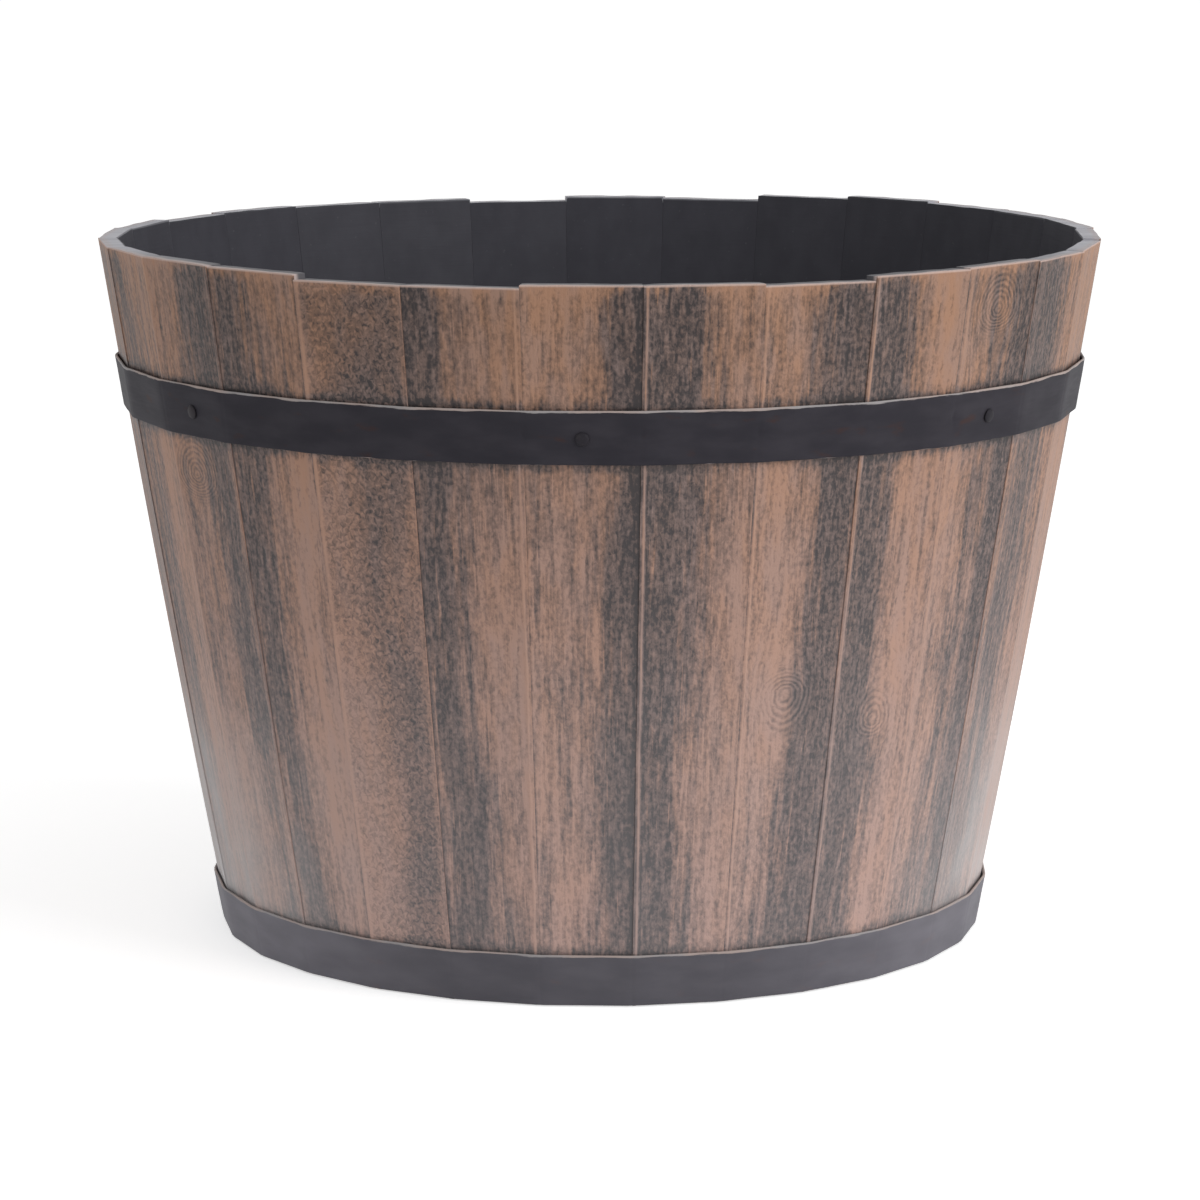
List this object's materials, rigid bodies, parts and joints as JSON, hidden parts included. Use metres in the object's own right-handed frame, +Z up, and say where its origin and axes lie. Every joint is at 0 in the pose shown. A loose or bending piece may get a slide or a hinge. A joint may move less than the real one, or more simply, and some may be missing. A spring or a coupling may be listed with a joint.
{
  "type": "barrel planter",
  "caption": "Round, open-topped tub of tapered wooden staves bound by two iron hoops, with a boarded floor pierced for drainage.",
  "frame": {"origin": "on the ground, at the centre of the foot, on the tub's upright axis", "axes": "+Z up along the tub's axis, -Y towards the front, +X to the right seen from the front"},
  "size_m": [0.4998, 0.4989, 0.3512],
  "materials": {
    "stave_wood": "tan, dry-brushed with black along the grain; blackened inside",
    "hoop_iron": "near-black, satin, worn pale along its edges",
    "fastener_iron": "near-black, satin",
    "floor_wood": "blackened, matt",
    "dowel_wood": "bare"
  },
  "bodies": {
    "root": {"stave_01": "stave_wood", "stave_02": "stave_wood", "stave_03": "stave_wood", "stave_04": "stave_wood", "stave_05": "stave_wood", "stave_06": "stave_wood", "stave_07": "stave_wood", "stave_08": "stave_wood", "stave_09": "stave_wood", "stave_10": "stave_wood", "stave_11": "stave_wood", "stave_12": "stave_wood", "stave_13": "stave_wood", "stave_14": "stave_wood", "stave_15": "stave_wood", "stave_16": "stave_wood", "stave_17": "stave_wood", "stave_18": "stave_wood", "stave_19": "stave_wood", "stave_20": "stave_wood", "stave_21": "stave_wood", "stave_22": "stave_wood", "stave_23": "stave_wood", "stave_24": "stave_wood", "stave_25": "stave_wood", "stave_26": "stave_wood", "stave_27": "stave_wood", "stave_28": "stave_wood", "upper_hoop": "hoop_iron", "lower_hoop": "hoop_iron", "upper_hoop_rivet_1": "fastener_iron", "upper_hoop_rivet_2": "fastener_iron", "lower_hoop_rivet_1": "fastener_iron", "lower_hoop_rivet_2": "fastener_iron", "upper_hoop_nail_1": "fastener_iron", "upper_hoop_nail_2": "fastener_iron", "upper_hoop_nail_3": "fastener_iron", "upper_hoop_nail_4": "fastener_iron", "upper_hoop_nail_5": "fastener_iron", "upper_hoop_nail_6": "fastener_iron", "upper_hoop_nail_7": "fastener_iron", "lower_hoop_nail_1": "fastener_iron", "lower_hoop_nail_2": "fastener_iron", "lower_hoop_nail_3": "fastener_iron", "lower_hoop_nail_4": "fastener_iron", "floor_board_1": "floor_wood", "floor_board_2": "floor_wood", "floor_board_3": "floor_wood", "floor_board_4": "floor_wood", "floor_board_5": "floor_wood", "floor_dowel_1": "dowel_wood", "floor_dowel_2": "dowel_wood", "floor_dowel_3": "dowel_wood", "floor_dowel_4": "dowel_wood", "floor_dowel_5": "dowel_wood", "floor_dowel_6": "dowel_wood", "floor_dowel_7": "dowel_wood", "floor_dowel_8": "dowel_wood"}
  },
  "joints": []
}
